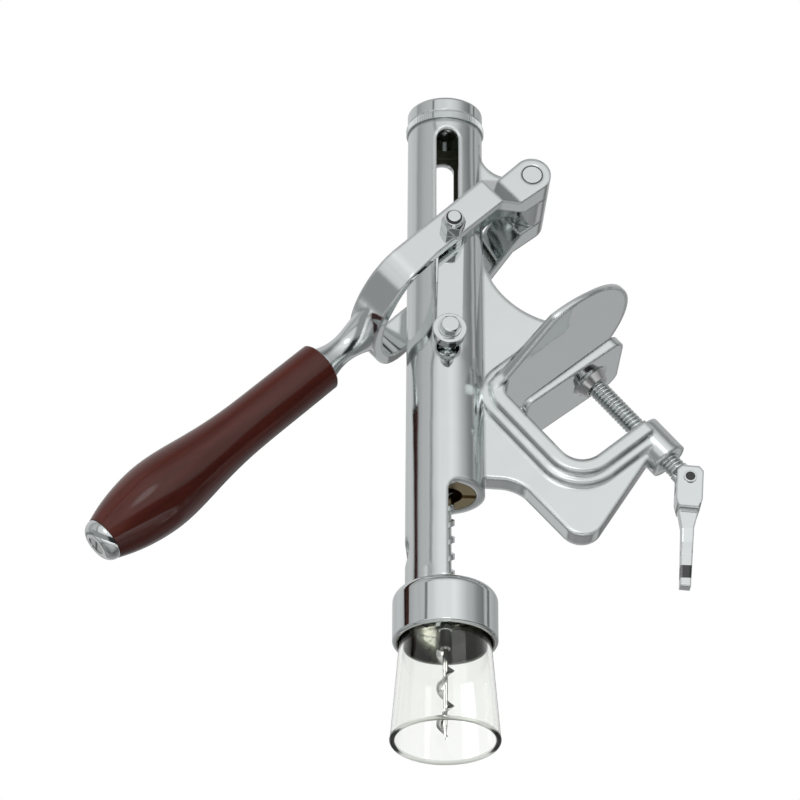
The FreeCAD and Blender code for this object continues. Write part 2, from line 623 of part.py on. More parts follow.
shaped("link_front", link_blank(-1), LINK)
shaped("link_rear", link_blank(1), LINK)

link_outer = z.link_inner + z.link_wall


def hex_prism(flats, start, end, height=0.0):
    """A hexagonal head or nut along Y, with the corners of its far face turned off."""
    corner = flats / math.sqrt(3)
    points = [Vector(corner * cosd(60 * i), start, height + corner * sind(60 * i)) for i in range(7)]
    prism = Part.Face(Part.makePolygon(points)).extrude(Vector(0, end - start, 0))
    trim = corner - flats * 0.46
    turned = cross_rod(corner + 0.1, start, end - trim, 0, height).fuse(
        Part.makeCone(corner + 0.1, flats * 0.46, trim, Vector(0, end - trim, height), Y_AXIS))
    return prism.common(turned)


def both_sides(build):
    """The same fixing on the front and the rear, mirrored across the barrel's middle plane."""
    near = build()
    return Part.makeCompound([near, near.mirror(Vector(), Y_AXIS)])


def lower_bolt():
    seat = link_outer + z.side_gap + z.washer_height + z.side_gap + z.lock_washer
    shank = cross_rod(z.pivot_bolt_radius, z.link_inner + z.side_gap, seat, 0, -z.link_length)
    return shank.fuse(hex_prism(z.hex_flats, seat, seat + z.hex_height, -z.link_length))


def lower_washer():
    """The flat washer and, standing on it, the split lock washer."""
    start = link_outer + z.side_gap
    top = start + z.washer_height
    flat = cross_rod(z.washer_radius, start, top, 0, -z.link_length)
    lock = cross_rod(z.lock_washer_radius, top, top + z.lock_washer, 0, -z.link_length)
    split = Part.makeBox(z.lock_washer_radius, z.lock_washer + 1, 0.8, Vector(0, top, -z.link_length - 0.4))
    return flat.fuse(lock.cut(split)).cut(
        cross_rod(z.pivot_bolt_radius + z.fit_gap, start - 1, top + z.lock_washer + 1, 0, -z.link_length))


shaped("link_lower_bolts", both_sides(lower_bolt), LINK)
shaped("link_lower_washers", both_sides(lower_washer), LINK)

band_inner = z.band_half - z.band_wall


def upper_bolt():
    end = z.band_half + z.side_gap + z.lock_nut_height + z.bolt_end
    shank = cross_rod(z.pivot_bolt_radius, z.link_inner - z.side_gap, end)
    seat = z.link_inner - z.side_gap
    head = cross_rod(z.pivot_head_radius, seat - z.pivot_head_height, seat)
    return shank.fuse(head)


def upper_spacer():
    start, end = link_outer + z.side_gap, band_inner - z.side_gap
    bore = cross_rod(z.pivot_bolt_radius + z.fit_gap, start - 1, end + 1)
    return cross_rod(z.pivot_head_radius, start, end).cut(bore)


def upper_nut():
    start = z.band_half + z.side_gap
    shoulder = start + z.lock_nut_height - z.lock_nut_crown
    nut = hex_prism(z.lock_nut_flats, start, shoulder)
    crown = Part.makeCone(z.lock_nut_flats * 0.46, z.lock_nut_flats * 0.42, z.lock_nut_crown,
                          Vector(0, shoulder, 0), Y_AXIS)
    bore = cross_rod(z.pivot_bolt_radius + z.fit_gap, start - 1, start + z.lock_nut_height + 1)
    return nut.fuse(crown).cut(bore)


shaped("link_upper_bolts", both_sides(upper_bolt), LINK)
shaped("link_upper_spacers", both_sides(upper_spacer), LINK)
shaped("link_lock_nuts", both_sides(upper_nut), LINK)


# ---------------------------------------------------------------- lever yoke
def ring_end(along, across):
    """The half ellipse that closes the ring beyond its straight sides."""
    middle = Vector(-z.ring_turn, 0, 0)
    ellipse = Part.Ellipse(middle + Vector(0, across, 0), middle + Vector(-along, 0, 0), middle)
    return Part.ArcOfEllipse(ellipse, 0, math.pi).toShape()


def plan_block(corners, end_curve, depth):
    """A plan outline from the ears round the ring's end, as a block either side of the lever's plane."""
    lines = [Part.makeLine(a, b) for a, b in zip(corners, corners[1:])]
    block = Part.Face(Part.Wire(Part.__sortEdges__(lines + [end_curve]))).extrude(Vector(0, 0, 2 * depth))
    block.translate(Vector(0, 0, -depth))
    return block


def mirrored(corners):
    """A run of plan corners, followed by the same run mirrored across the middle plane."""
    return corners + [Vector(point.x, -point.y, 0) for point in reversed(corners)]


def neck():
    """The stem between the ring and the wood: broad where it leaves the ring, round and waisted beyond."""
    seat = LEVER.inverse().multiply(GRIP)
    root = z.grip_start - z.ring_end + z.neck_flare
    waist, foot = z.neck_waist_radius, z.neck_end_radius
    spread, rise = z.neck_root_across - waist, z.neck_root_up - waist
    halfway = (waist + foot) / 2
    stations = [(z.side_gap, foot, foot), (z.neck_waist * 0.3, halfway, halfway), (z.neck_waist, waist, waist)]
    stations += [(z.neck_waist + (root - z.neck_waist) * way, waist + spread * wide, waist + rise * tall)
                 for way, wide, tall in ((0.42, 0.17, 0.6), (0.73, 0.5, 1.1), (1.0, 1.0, 1.0))]
    sections = []
    for back, across, up in stations:
        wire = Part.Wire(Part.Ellipse(Vector(0, across + 0.05, 0), Vector(up, 0, 0), Vector()).toShape())
        wire.Placement = seat.multiply(Placement(Vector(0, 0, -back), Rotation()))
        sections.append(wire)
    return Part.makeLoft(sections, True)


def lever_yoke():
    ear, side_inner = z.ear_half, z.band_half - z.band_wall
    inner = z.hinge_lug_half + z.ear_gap
    reach, depth = z.ear_radius + 2, z.band_low_end + 1
    outer = plan_block(mirrored([
        Vector(-z.ring_turn, z.band_half, 0), Vector(-z.joggle_end, z.band_half, 0), Vector(-z.ear_flat, ear, 0),
        Vector(reach, ear, 0)]), ring_end(z.ring_end - z.ring_turn, z.band_half), depth)
    hollow = plan_block(mirrored([
        Vector(-z.ring_turn, side_inner, 0), Vector(-z.joggle_end - 3, side_inner, 0),
        Vector(-z.ear_flat - 1, inner + 5, 0), Vector(-z.ear_flat + 4, inner, 0), Vector(reach, inner, 0)]),
        ring_end(z.ring_end - z.ring_end_wall - z.ring_turn, side_inner), depth + 1)
    tangent = z.ear_radius
    profile = plate(chain([
        side(0, -tangent), (side(tangent, 0), side(0, tangent)), side(-z.joggle_end, z.band_high),
        side(-z.ring_end - 1, z.band_high_end), side(-z.ring_end - 1, -z.band_low_end),
        side(-z.band_drop_end, -z.band_low_end), side(-z.band_drop_start, -z.band_low - 0.8),
        side(-z.joggle_end, -z.band_low)]), z.band_half + 2)
    ring = outer.cut(hollow).common(profile)
    holes = [cross_rod(z.hinge_pin_radius + z.pin_gap, -ear - 1, ear + 1),
             cross_rod(z.pivot_bolt_radius + z.fit_gap, -z.band_half - 1, z.band_half + 1,
                       -z.link_reach, -z.link_drop)]
    rod_seat = rod(z.tie_rod_radius + z.fit_gap, -z.tie_rod_seat, 1)
    rod_seat.Placement = LEVER.inverse().multiply(GRIP)
    return ring.fuse(neck()).cut(holes + [rod_seat]).removeSplitter()


shaped("lever_yoke", lever_yoke(), LEVER)
shaped("hinge_pin", cross_rod(z.hinge_pin_radius, -z.ear_half, z.ear_half), LEVER)


# ---------------------------------------------------------------- grip
def turned_curve(points):
    """A smooth curve through radius and height pairs, on the XZ plane."""
    curve = Part.BSplineCurve()
    curve.interpolate([Vector(radius, 0, height) for radius, height in points])
    return curve.toShape()


def grip():
    """The turned wooden handle: a straight upper part, a bulb for the palm and a tapered end."""
    long, top, bulb, end = z.grip_length, z.grip_top_radius, z.grip_bulb_radius, z.grip_end_radius
    swell, fall = bulb - top, bulb - end
    curve = turned_curve([
        (top - 0.1, z.grip_edge), (top, long * 0.1), (top + swell * 0.02, long * 0.26),
        (top + swell * 0.1, long * 0.405), (top + swell * 0.46, long * 0.55),
        (top + swell * 0.89, long * 0.675), (bulb, long * 0.765),
        (end + fall * 0.85, long * 0.845), (end + fall * 0.55, long * 0.918), (end, long)])
    hole = z.tie_rod_radius + z.fit_gap
    face_edge = side(top - 0.1 - z.grip_edge, 0)
    corners = [side(end, long), side(hole, long), side(hole, 0), face_edge, side(top - 0.1, z.grip_edge)]
    profile = [curve] + [Part.makeLine(a, b) for a, b in zip(corners, corners[1:])]
    return Part.Face(Part.Wire(Part.__sortEdges__(profile))).revolve(Vector(), Z_AXIS, 360)


shaped("grip", grip(), GRIP)

button_foot = z.grip_length + z.side_gap
button_top = button_foot + z.end_button_height
rod_head_foot = button_top - 0.4 - z.tie_rod_head


def tie_rod():
    """The rod through the grip, with a slotted head sunk in the end button."""
    shaft = rod(z.tie_rod_radius, -z.tie_rod_seat + z.side_gap, rod_head_foot)
    head = rod(z.tie_rod_head_radius, rod_head_foot, rod_head_foot + z.tie_rod_head)
    slot = Part.makeBox(1.4, 2 * z.tie_rod_head_radius + 2, z.tie_rod_head,
                        Vector(-0.7, -z.tie_rod_head_radius - 1, rod_head_foot + z.tie_rod_head * 0.5))
    return shaft.fuse(head).cut(slot).removeSplitter()


shaped("grip_tie_rod", tie_rod(), GRIP)


def end_button():
    """The rounded metal end that the tie rod pulls against the wood, in line with the grip's own taper."""
    hole, sink = z.tie_rod_radius + z.fit_gap, z.tie_rod_head_radius + z.fit_gap
    rim = side(z.end_button_radius, button_foot + 0.8)
    shoulder = side((z.end_button_radius * 2 + z.end_button_flat) / 3, button_foot + z.end_button_height * 0.72)
    profile = chain([
        side(hole, button_foot), side(z.end_button_radius, button_foot), rim,
        (shoulder, side(z.end_button_flat, button_top)), side(sink, button_top),
        side(sink, rod_head_foot - z.fit_gap), side(hole, rod_head_foot - z.fit_gap)])
    return Part.Face(Part.Wire(Part.__sortEdges__(profile))).revolve(Vector(), Z_AXIS, 360)


shaped("grip_end_button", end_button(), GRIP)

# ---------------------------------------------------------------- bell collar, seal, sleeve and glass
collar = new_body("bell_collar", BARREL)
collar_turned = revolve(collar, [
    ("Sizes.barrel_bore", "-Sizes.shell_drop"),
    ("Sizes.collar_radius", "-Sizes.shell_drop"),
    ("Sizes.collar_radius", "-Sizes.shell_drop - Sizes.collar_height"),
    ("Sizes.collar_bore", "-Sizes.shell_drop - Sizes.collar_height"),
    ("Sizes.collar_bore", "-Sizes.shell_drop - Sizes.collar_roof"),
    ("Sizes.barrel_bore", "-Sizes.shell_drop - Sizes.collar_roof"),
])
collar_top = round_edges(
    collar, collar_turned, [(-z.shell_drop, z.collar_radius)], "Sizes.collar_edge", "TopEdge")
collar_lip = round_edges(
    collar, collar_top, [(-z.shell_drop - z.collar_height, z.collar_radius)], "Sizes.collar_lip", "LipEdge")
screw_holes = new_sketch(collar, "ScrewHoles", "XY_Plane")
for angle in (120, 180, 240):
    across, up = (f"Sizes.collar_screw_circle * {rule}({angle}deg)" for rule in ("cos", "sin"))
    circle(screw_holes, across, up, "Sizes.collar_screw_radius + Sizes.fit_gap")
pocket(collar, screw_holes, "ScrewHolesCut", both=True)


def collar_screws():
    foot = -z.shell_drop - z.collar_roof - 0.02
    screws = []
    for spot, shaft in zip(collar_screw_spots(), collar_screw_shafts(0)):
        head = Part.makeCone(z.collar_screw_head * 0.8, z.collar_screw_head, z.collar_screw_head_height,
                             Vector(spot[0], spot[1], foot - z.collar_screw_head_height))
        screws.append(shaft.fuse(rod(z.collar_screw_radius, foot, foot + 1, spot)).fuse(head).removeSplitter())
    return Part.makeCompound(screws)


shaped("collar_screws", collar_screws(), BARREL)

seal = new_body("bell_seal", BARREL)
revolve(seal, [
    ("Sizes.seal_inner", "-Sizes.shell_drop - Sizes.collar_roof"),
    ("Sizes.collar_bore - 0.1", "-Sizes.shell_drop - Sizes.collar_roof"),
    ("Sizes.collar_bore - 0.1", "-Sizes.shell_drop - Sizes.collar_roof - Sizes.seal_height"),
    ("Sizes.seal_inner", "-Sizes.shell_drop - Sizes.collar_roof - Sizes.seal_height"),
])

sleeve = new_body("bell_sleeve", BARREL)
revolve(sleeve, [
    ("Sizes.glass_neck_radius + Sizes.fit_gap", "-Sizes.sleeve_top"),
    ("Sizes.collar_bore - Sizes.fit_gap", "-Sizes.sleeve_top"),
    ("Sizes.collar_bore - Sizes.fit_gap", "-Sizes.sleeve_top - Sizes.sleeve_height"),
    ("Sizes.glass_neck_radius + Sizes.fit_gap", "-Sizes.sleeve_top - Sizes.sleeve_height"),
])


def glass_bell():
    """The glass bell that centres the bottle: a straight neck, a flared wall and a beaded mouth."""
    top = -z.shell_drop - z.collar_roof - z.seal_height
    neck_foot = top - z.glass_neck_length
    foot, outer, wall = -z.glass_foot, z.glass_foot_radius, z.glass_wall
    bead_centre = outer - wall / 2
    bead = z.bead_radius
    profile = [
        side(z.glass_neck_radius, top), side(z.glass_neck_radius, neck_foot),
        side(outer, foot + 2 * bead), side(outer, foot + bead),
        side(outer - wall, foot + bead), side(outer - wall, foot + 2 * bead),
        side(z.glass_neck_radius - wall, neck_foot), side(z.glass_neck_radius - wall, top)]
    wall_face = Part.Face(Part.makePolygon(profile + [profile[0]]))
    body = wall_face.revolve(Vector(), Z_AXIS, 360)
    rim = Part.makeTorus(bead_centre, bead, Vector(0, 0, foot + bead))
    return body.fuse(rim).removeSplitter()


shaped("glass_bell", glass_bell(), BARREL)


# ---------------------------------------------------------------- clamp screw, pad and folding handle
pad_foot = -z.pad_top - z.pad_wall
socket_foot = pad_foot - z.socket_height


def pressure_pad():
    """The pad that the screw drives up under the counter: it thins towards the frame, round a flat seat."""
    left, right, top = -z.pad_left, z.pad_right, -z.pad_top
    blank = plate(chain([side(left, top), side(right, top), side(right, pad_foot),
                         side(left, top - z.pad_end_wall)]), z.pad_half)
    for reach, radius in ((left, z.pad_corner), (right, z.pad_far_corner)):
        upright = [edge for edge in blank.Edges if abs(edge.tangentAt(edge.FirstParameter).z) > 0.99
                   and abs(edge.BoundBox.Center.x - reach) < 0.01]
        blank = blank.makeFillet(radius, upright)
    rims = [edge for edge in blank.Edges if abs(edge.tangentAt(edge.FirstParameter).z) < 0.3]
    blank = blank.makeChamfer(0.5, rims)
    seat = rod(z.socket_radius + 1.2, pad_foot, top - 1)
    bore = rod(z.screw_nose + z.fit_gap, pad_foot - 1, -z.pad_top - z.nose_gap)
    return blank.fuse(seat).cut(bore).removeSplitter()


shaped("pressure_pad", pressure_pad(), ROW)


def pad_socket():
    """The swaged cup that holds the screw's nose on the pad and lets it turn."""
    cup = Part.makeCone(z.socket_radius - 1.6, z.socket_radius, z.socket_height, Vector(0, 0, socket_foot))
    return cup.cut(rod(z.screw_radius + z.screw_gap, socket_foot - 1, pad_foot - 1.2)).cut(
        rod(z.screw_nose + z.fit_gap, socket_foot, pad_foot + 1))


shaped("pad_socket", pad_socket(), ROW)


def clamp_screw():
    """The clamp screw: a turned-down nose above, the threaded shaft, and a flat tongue for the handle below."""
    shaft_top = pad_foot - 1.2 - z.side_gap
    fork_reach = math.hypot(z.fork_width / 2 - z.fork_corner, z.fork_up)
    shaft_foot = -z.rivet_drop + fork_reach + 2 * z.side_gap
    shaft = rod(z.screw_radius, shaft_foot, shaft_top)
    nose = rod(z.screw_nose, shaft_top, -z.pad_top - z.nose_gap - z.side_gap)
    tongue = plate(chain([
        side(z.tongue_width, shaft_foot), side(z.tongue_width, -z.rivet_drop),
        (side(0, -z.rivet_drop - z.tongue_width), side(-z.tongue_width, -z.rivet_drop)),
        side(-z.tongue_width, shaft_foot)]), z.tongue_half)
    eye = cross_rod(z.rivet_radius + z.fit_gap, -z.tongue_half - 1, z.tongue_half + 1, 0, -z.rivet_drop)
    return shaft.fuse([nose, tongue]).cut(eye).removeSplitter()


shaped("clamp_screw", clamp_screw(), ROW)

HANDLE = Placement(Vector(0, 0, -z.rivet_drop), Rotation(Y_AXIS, z.handle_turn))


def clamp_handle():
    """The folding handle: two cheeks on the rivet, a broad shoulder and a tapering stem."""
    half, up, down = z.fork_width / 2, z.fork_up, z.fork_down
    cheeks = plate(chain([
        side(-half + z.fork_corner, up), side(half - z.fork_corner, up), side(half, up - 2.4),
        side(half, -down + 2), side(half - 1.6, -down - 4),
        side(z.stem_width / 2, -down - 12), side(z.stem_width / 2 - 0.5, -z.stem_length),
        side(-z.stem_width / 2 + 0.5, -z.stem_length), side(-z.stem_width / 2, -down - 12),
        side(-half + 1.6, -down - 4), side(-half, -down + 2), side(-half, up - 2.4)]), z.fork_half)
    slot = Part.makeBox(4 * half, 2 * (z.tongue_half + z.side_gap), up + down - 4,
                        Vector(-2 * half, -z.tongue_half - z.side_gap, -down + 6))
    thin = z.stem_wall / 2
    trims = [Part.makeBox(4 * half, z.fork_half, z.stem_length,
                          Vector(-2 * half, start, -z.stem_length - down - 3))
             for start in (thin, -thin - z.fork_half)]
    eye = cross_rod(z.rivet_radius + z.fit_gap, -z.fork_half - 1, z.fork_half + 1)
    return cheeks.cut([slot, eye] + trims).removeSplitter()


shaped("clamp_handle", clamp_handle(), HANDLE)


def handle_rivet():
    seat = z.fork_half + 0.03
    pin = cross_rod(z.rivet_radius, -seat, seat)
    heads = [cross_rod(z.rivet_head, seat, seat + 0.8), cross_rod(z.rivet_head, -seat - 0.8, -seat)]
    return pin.fuse(heads).removeSplitter()


shaped("handle_rivet", handle_rivet(), HANDLE)

# ---------------------------------------------------------------- checks and files
doc.recompute()
for item in doc.Objects:
    if "Invalid" in item.State or "Error" in item.State:
        raise RuntimeError(f"{item.Label} is {item.State}")
pieces = [item for item in doc.Objects
          if item.TypeId in ("PartDesign::Body", "Part::Feature") and item.getParentGeoFeatureGroup() is None]
for item in pieces:
    if item.Shape.isNull() or not item.Shape.isValid():
        raise RuntimeError(f"{item.Label} has no valid shape")
os.makedirs("parts", exist_ok=True)
for item in pieces:
    item.Shape.exportStep(f"parts/{item.Label}.step")
    print(f"{item.Label:22s} solids {len(item.Shape.Solids)}  volume {item.Shape.Volume:10.1f}")
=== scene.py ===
"""Counter mount corkscrew: its finishes, its thread and knurl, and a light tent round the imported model."""
import math

import bmesh
import bpy
from mathutils import Matrix, Vector


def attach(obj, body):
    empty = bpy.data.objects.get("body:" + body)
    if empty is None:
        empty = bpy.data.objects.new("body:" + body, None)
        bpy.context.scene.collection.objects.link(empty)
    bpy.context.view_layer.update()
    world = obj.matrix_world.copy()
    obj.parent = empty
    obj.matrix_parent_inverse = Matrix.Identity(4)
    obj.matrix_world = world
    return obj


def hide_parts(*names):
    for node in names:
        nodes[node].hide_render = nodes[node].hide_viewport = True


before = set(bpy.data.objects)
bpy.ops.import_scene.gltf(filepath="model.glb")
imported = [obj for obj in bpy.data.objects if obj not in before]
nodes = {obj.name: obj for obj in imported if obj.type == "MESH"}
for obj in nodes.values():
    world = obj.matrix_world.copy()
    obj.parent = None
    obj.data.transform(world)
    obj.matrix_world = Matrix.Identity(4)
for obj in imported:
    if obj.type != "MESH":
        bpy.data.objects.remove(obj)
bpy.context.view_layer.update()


# ---------------------------------------------------------------- cast frame
# One casting holds the slotted barrel, the hinge arm and the clamp's two jaws, polished and chrome plated.
# No polishing wheel reaches the barrel's bore, so the plating ends there and the metal stays oily and dark.
class Value:
    """A shader socket that takes part in ordinary arithmetic by adding Math nodes."""

    def __init__(self, graph, socket):
        self.graph, self.socket = graph, socket

    def combine(self, operation, first, second):
        return self.graph.node("ShaderNodeMath", {"operation": operation}, {0: first, 1: second})

    def __add__(self, other):
        return self.combine("ADD", self, other)

    def __mul__(self, other):
        return self.combine("MULTIPLY", self, other)

    def __sub__(self, other):
        return self.combine("SUBTRACT", self, other)

    def __rsub__(self, other):
        return self.combine("SUBTRACT", other, self)

    def __lt__(self, other):
        return self.combine("LESS_THAN", self, other)

    __radd__, __rmul__ = __add__, __mul__


class Graph:
    """A shader node tree under construction, with one method that adds any node."""

    def __init__(self, tree):
        self.tree = tree

    def node(self, kind, settings=None, inputs=None, output=0):
        made = self.tree.nodes.new(kind)
        for key, setting in (settings or {}).items():
            if key == "stops":
                while len(made.color_ramp.elements) < len(setting):
                    made.color_ramp.elements.new(0.5)
                for element, (place, tone) in zip(made.color_ramp.elements, setting):
                    colour = tone if isinstance(tone, tuple) else (tone, tone, tone)
                    element.position, element.color = place, (*colour, 1)
            else:
                setattr(made, key, setting)
        for key, given in (inputs or {}).items():
            self.feed(made.inputs[key], given)
        if output is None:
            return [Value(self, socket) for socket in made.outputs]
        return Value(self, made.outputs[output])

    def feed(self, socket, given):
        if isinstance(given, Value):
            self.tree.links.new(given.socket, socket)
        elif socket.type == "RGBA":
            socket.default_value = (*given, 1)
        else:
            socket.default_value = given

    def ramp(self, given, *stops):
        """A colour ramp, whose stops each have a place and then a level of grey or a colour."""
        return self.node("ShaderNodeValToRGB", {"stops": stops}, {"Fac": given})

    def blend(self, share, first, second, way="MIX"):
        """The first colour where the share is 0, and the second colour where it is 1."""
        return self.node("ShaderNodeMix", {"data_type": "RGBA", "blend_type": way}, {
            0: share, 6: first, 7: second}, output=2)


class Finish(Graph):
    """A material under construction."""

    def __init__(self, name):
        self.material = bpy.data.materials.new(name)
        self.material.use_nodes = True
        super().__init__(self.material.node_tree)
        self.skin = self.tree.nodes["Principled BSDF"]

    def set(self, **given):
        for key, value in given.items():
            self.feed(self.skin.inputs[key.replace("_", " ")], value)
        return self.material

    def spot(self):
        """Where a point of the surface lies, in the row frame."""
        return self.node("ShaderNodeTexCoord", output="Object")

    def spot_in(self, place):
        """Where a point of the surface lies, in a frame that is given by its place in the row frame."""
        inverse = place.inverted()
        return self.node("ShaderNodeMapping", None, {
            "Vector": self.spot(), "Location": inverse.translation, "Rotation": inverse.to_euler()})

    def height(self, spot):
        return self.node("ShaderNodeSeparateXYZ", None, {"Vector": spot}, output="Z")

    def noise(self, scale, detail=3.0, rough=0.5, vector=None):
        return self.node("ShaderNodeTexNoise", None, {
            "Vector": vector or self.spot(), "Scale": scale, "Detail": detail, "Roughness": rough})

    def bump(self, height, strength, distance, edge=0.0):
        """Relief on the surface; with an edge radius, sharp corners also catch the light as if rounded."""
        inputs = {"Height": height, "Strength": strength, "Distance": distance}
        if edge:
            inputs["Normal"] = self.node("ShaderNodeBevel", {"samples": 6}, {"Radius": edge})
        return self.node("ShaderNodeBump", None, inputs)


def chrome_colour(shade=0.74):
    """Chrome plating throws back a little less of the red than of the green and blue."""
    return (shade * 0.955, shade, shade)


def cored_plating(name, place, core, inner, shine, dullness, edge, ripple, ceiling=1.0):
    """Plating with another finish in its core, about the Z axis of the place's frame and up to a ceiling."""
    finish = Finish(name)
    spot = finish.spot_in(place)
    flat = finish.node("ShaderNodeVectorMath", {"operation": "MULTIPLY"}, {0: spot, 1: (1, 1, 0)})
    reach = finish.node("ShaderNodeVectorMath", {"operation": "LENGTH"}, {0: flat}, output="Value")
    inside = (reach < core) * (finish.height(spot) < ceiling)
    soft = finish.noise(26.0, 2.0)
    return finish.set(
        Base_Color=finish.blend(inside, chrome_colour(), inner), Metallic=1 - inside * (1 - shine),
        Roughness=soft * 0.05 + inside * dullness + 0.035, Normal=finish.bump(soft, 1.0, ripple, edge))


def coat(finish, *names):
    """Gives the named CAD pieces one finish."""
    for name in names:
        nodes[name].data.materials.clear()
        nodes[name].data.materials.append(finish)


# The barrel's own frame: from the middle of its foot, Z runs up its axis and Y away from the lens.
barrel_lean, jaw_reach, jaw_height = math.radians(41.0), 0.05544, 0.07884
barrel = Matrix.Rotation(barrel_lean, 4, "Y") @ Matrix.Translation((-jaw_reach, 0, -jaw_height))
barrel_bore, bore_margin = 0.0143, 0.0003
bare_reach = barrel_bore + bore_margin
oily_metal = (0.110, 0.120, 0.075)
coat(cored_plating("plated_frame", barrel, bare_reach, oily_metal, shine=0.0, dullness=0.5, edge=0.003,
                   ripple=0.0005), "frame_casting")


# ---------------------------------------------------------------- end cap
# A turned and plated cap screws onto the barrel's top by its spigot, and its lower band is knurled for grip.
# Each rib of the knurl is a slim wedge on a ring of points about the barrel's axis.
def measured(name, place=Matrix()):
    """Lowest and highest corners of a CAD piece, in a frame given by its place in the row frame."""
    inverse = place.inverted()
    points = [inverse @ vertex.co for vertex in nodes[name].data.vertices]
    return [Vector([pick(point[axis] for point in points) for axis in range(3)]) for pick in (min, max)]


def plated(name, shade=0.74, rough=0.07, edge=0.0012, ripple=0.00010):
    """Polished plating, with the faint unevenness that hand polishing leaves."""
    finish = Finish(name)
    soft = finish.noise(30.0, 2.0)
    fine = finish.noise(420.0, 2.0)
    return finish.set(
        Base_Color=chrome_colour(shade), Metallic=1.0, Roughness=soft * 0.05 + fine * 0.02 + (rough - 0.035),
        Normal=finish.bump(soft, 1.0, ripple, edge))


def fitted(name, mesh, body):
    """A new piece made of the mesh, which rides on a body and keeps the finish that its mesh holds."""
    made = bpy.data.objects.new(name, mesh)
    bpy.context.scene.collection.objects.link(made)
    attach(made, body)
    return made


class Pattern:
    """A geometry node tree under construction, which ends as a plain mesh."""

    def __init__(self, name):
        self.name = name
        self.tree = bpy.data.node_groups.new(name, "GeometryNodeTree")
        self.tree.interface.new_socket("Geometry", in_out="OUTPUT", socket_type="NodeSocketGeometry")
        self.entry = self.tree.nodes.new("NodeGroupInput")
        self.sizes = {}

    def size(self, name, value):
        """A named input of the tree, with the size that it gets before the tree is first worked out."""
        kind = "NodeSocketInt" if isinstance(value, int) else "NodeSocketFloat"
        made = self.tree.interface.new_socket(name, in_out="INPUT", socket_type=kind)
        self.sizes[made.identifier] = value
        return self.entry.outputs[name]

    def node(self, kind, settings=None, inputs=None, output=0):
        made = self.tree.nodes.new(kind)
        for key, setting in (settings or {}).items():
            setattr(made, key, setting)
        for key, given in (inputs or {}).items():
            if isinstance(given, bpy.types.NodeSocket):
                self.tree.links.new(given, made.inputs[key])
            else:
                made.inputs[key].default_value = given
        return made.outputs[output]

    def mesh(self, geometry, material, place):
        """The pattern as a plain mesh of one material, set in its place in the row frame."""
        plain = self.node("GeometryNodeRealizeInstances", None, {"Geometry": geometry})
        coloured = self.node("GeometryNodeSetMaterial", None, {"Geometry": plain, "Material": material})
        self.tree.links.new(coloured, self.tree.nodes.new("NodeGroupOutput").inputs["Geometry"])
        carrier = bpy.data.objects.new(self.name + "_carrier", bpy.data.meshes.new(self.name + "_carrier"))
        bpy.context.scene.collection.objects.link(carrier)
        modifier = carrier.modifiers.new("pattern", "NODES")
        modifier.node_group = self.tree
        for identifier, value in self.sizes.items():
            modifier[identifier] = value
        solved = carrier.evaluated_get(bpy.context.evaluated_depsgraph_get())
        mesh = bpy.data.meshes.new_from_object(solved)
        mesh.transform(place)
        bpy.data.objects.remove(carrier)
        return mesh


spigot_length, cap_gap, knurl_band, rib_length = 0.0042, 0.00035, 0.0038, 0.0032
cap_seat = measured("end_cap", barrel)[0].z + spigot_length
coat(cored_plating("plated_cap", barrel, bare_reach, oily_metal, shine=0.0, dullness=0.5, edge=0.0005,
                   ripple=0.0001, ceiling=cap_seat), "end_cap")
knurl = Pattern("cap_knurl")
rib_radius = knurl.size("Rib Radius", 0.00038)
wedge = knurl.node("GeometryNodeMeshCone", None, {
    "Vertices": knurl.size("Rib Sides", 3), "Radius Top": rib_radius, "Radius Bottom": rib_radius,
    "Depth": knurl.size("Rib Length", rib_length)})
ring = knurl.node("GeometryNodeMeshCircle", None, {
    "Vertices": knurl.size("Ribs", 104), "Radius": knurl.size("Band Radius", 0.01832)})
outward = knurl.node("FunctionNodeAlignRotationToVector", {"axis": "X"}, {
    "Vector": knurl.node("GeometryNodeInputPosition")})
ribs = knurl.node("GeometryNodeInstanceOnPoints", None, {
    "Points": ring, "Instance": wedge, "Rotation": outward})
knurl_place = barrel @ Matrix.Translation((0, 0, cap_seat + cap_gap + (knurl_band - rib_length) / 2))
# The ribs' plating is paler than the cap's: a painted highlight that makes the knurl catch the light.
knurl_plating_painted_bright = plated("knurl_plating_painted_bright", shade=0.95, rough=0.25, edge=0.0)
fitted("cap_knurl", knurl.mesh(ribs, knurl_plating_painted_bright, knurl_place), "frame")


# ---------------------------------------------------------------- lever and pad
# The forked lever and the square pressure pad are cast and plated like the frame.
# Their corners are rounded by the polishing, which the edge radius of the finish shows.
coat(plated("plated_casting", edge=0.0022, ripple=0.0002), "lever_yoke", "pressure_pad")


# ---------------------------------------------------------------- links and slider
# Punched links, turned bolts and pins, the slider and the spindle are plated steel with sharper edges.
# They share one bright plating, and so do the grip's end button and the clamp screw.
bright_plating = plated("polished_plating", edge=0.0005)
coat(bright_plating, "hinge_pin", "link_front", "link_rear", "link_lower_bolts", "link_lower_washers",
     "link_upper_bolts", "link_upper_spacers", "link_lock_nuts", "carriage", "grip_end_button", "spindle",
     "clamp_screw")


# ---------------------------------------------------------------- plain steel fixings
# The spindle's washers and nut, the collar's screws, the grip's tie rod and the pad's socket aren't plated.
# They are turned steel with a fine, satin tool finish.
def turned_steel(name, shade=0.55, rough=0.22):
    finish = Finish(name)
    fine = finish.noise(900.0)
    return finish.set(Base_Color=(shade, shade, shade), Metallic=1.0, Roughness=fine * 0.12 + (rough - 0.06))


coat(turned_steel("turned_steel"), "thrust_washers", "spindle_nut", "collar_screws", "grip_tie_rod",
     "pad_socket")


